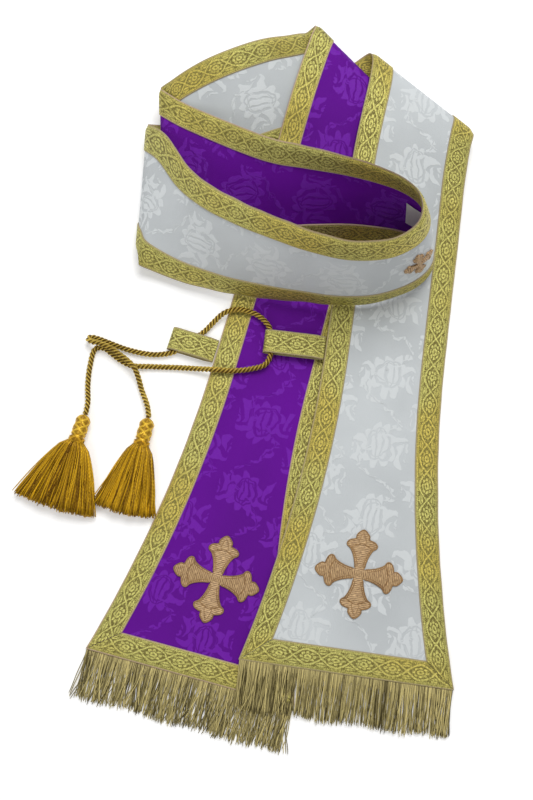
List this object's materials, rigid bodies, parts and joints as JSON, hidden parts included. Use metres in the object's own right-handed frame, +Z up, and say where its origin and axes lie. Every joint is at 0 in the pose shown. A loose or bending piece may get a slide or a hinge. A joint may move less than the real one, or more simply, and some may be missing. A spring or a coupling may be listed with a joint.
{
  "type": "clergy stole",
  "caption": "Reversible white and purple clergy stole, bound with gold galloon, fringed, with a tasselled cord, laid down in loose loops.",
  "frame": {"origin": "on the floor below the middle of the stole, its cord and tassels apart", "axes": "+Z up, +Y from the fringed ends towards the loops, +X towards the white end"},
  "size_m": [0.3911, 0.6288, 0.1072],
  "materials": {
    "purple_damask": "tone-on-tone satin damask with scrolls and flowers",
    "white_damask": "tone-on-tone pearly damask",
    "linen": "plain matte weave",
    "gold_galloon": "metallic gold jacquard braid",
    "copper_embroidery": "satin-stitch embroidery with raised outline",
    "fringe_thread": "twisted olive-gold threads",
    "silk_gold": "silky deep gold threads",
    "cord_gold": "three-ply twisted gold cord"
  },
  "bodies": {
    "root": {"purple_face_a1": "purple_damask", "purple_face_a2": "purple_damask", "purple_face_a3": "purple_damask", "purple_face_a4": "purple_damask", "purple_face_b1": "purple_damask", "purple_face_b2": "purple_damask", "purple_face_b3": "purple_damask", "purple_face_b4": "purple_damask", "purple_face_b5": "purple_damask", "white_face_a1": "white_damask", "white_face_a2": "white_damask", "white_face_a3": "white_damask", "white_face_a4": "white_damask", "white_face_b1": "white_damask", "white_face_b2": "white_damask", "white_face_b3": "white_damask", "white_face_b4": "white_damask", "white_face_b5": "white_damask", "interlining_a": "linen", "interlining_b": "linen", "fringe_tape_a": "linen", "fringe_tape_b": "linen", "neck_label": "linen", "fringe_a": "fringe_thread", "fringe_b": "fringe_thread", "purple_cross_a": "copper_embroidery", "purple_cross_b": "copper_embroidery", "white_cross_a": "copper_embroidery", "white_cross_b": "copper_embroidery", "neck_cross": "copper_embroidery", "keeper_loop_a": "gold_galloon", "keeper_loop_b": "gold_galloon", "cord": "cord_gold", "purple_galloon_outer": "gold_galloon", "purple_galloon_inner": "gold_galloon", "white_galloon_outer": "gold_galloon", "white_galloon_inner": "gold_galloon", "purple_galloon_end_a": "gold_galloon", "purple_galloon_end_b": "gold_galloon", "white_galloon_end_a": "gold_galloon", "white_galloon_end_b": "gold_galloon"},
    "tassel_a": {"tassel_a_head": "silk_gold", "tassel_a_collar": "cord_gold", "tassel_a_skirt": "silk_gold"},
    "tassel_b": {"tassel_b_head": "silk_gold", "tassel_b_collar": "cord_gold", "tassel_b_skirt": "silk_gold"}
  },
  "joints": [
    {"name": "tassel_a_lift", "type": "hinge", "parent": "root", "child": "tassel_a", "pos_m": [-0.1679, -0.0446, 0.00715], "axis": [-0.9563, 0.2924, 0], "range_deg": [0, 80]},
    {"name": "tassel_b_lift", "type": "hinge", "parent": "root", "child": "tassel_b", "pos_m": [-0.1142, -0.0477, 0.00715], "axis": [-0.9703, 0.2419, 0], "range_deg": [0, 80]}
  ]
}
